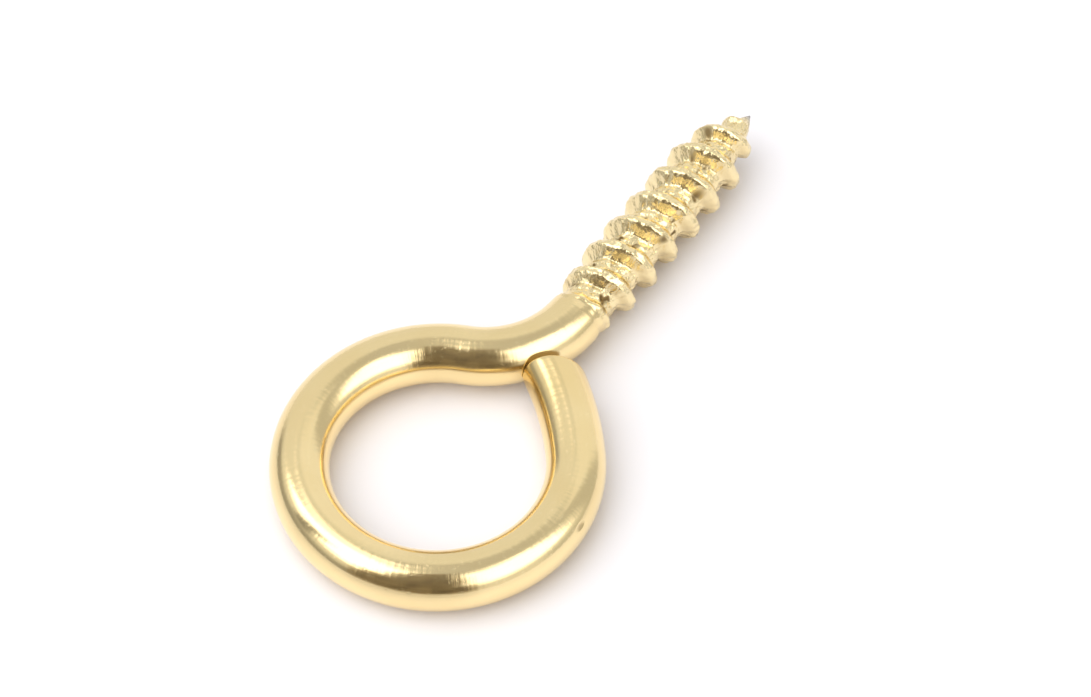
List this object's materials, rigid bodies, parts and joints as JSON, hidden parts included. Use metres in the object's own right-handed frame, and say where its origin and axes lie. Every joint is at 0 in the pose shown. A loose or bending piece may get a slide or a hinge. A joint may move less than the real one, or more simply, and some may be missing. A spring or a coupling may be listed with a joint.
{
  "type": "screw eye",
  "caption": "Closed wire eye on a short shank with a coarse right-hand wood thread and a tapered point, bent and rolled from one length of brass-plated wire.",
  "frame": {"origin": "middle of the eye, at the middle of the wire's thickness", "axes": "+X along the shank from the eye to the tip, +Z square to the eye and up as the part lies flat, +Y to the side on which the neck runs into the eye"},
  "size_m": [0.026, 0.0122, 0.0028],
  "materials": {
    "plating": "bright plated"
  },
  "bodies": {
    "root": {"screw_eye": "plating"}
  },
  "joints": []
}
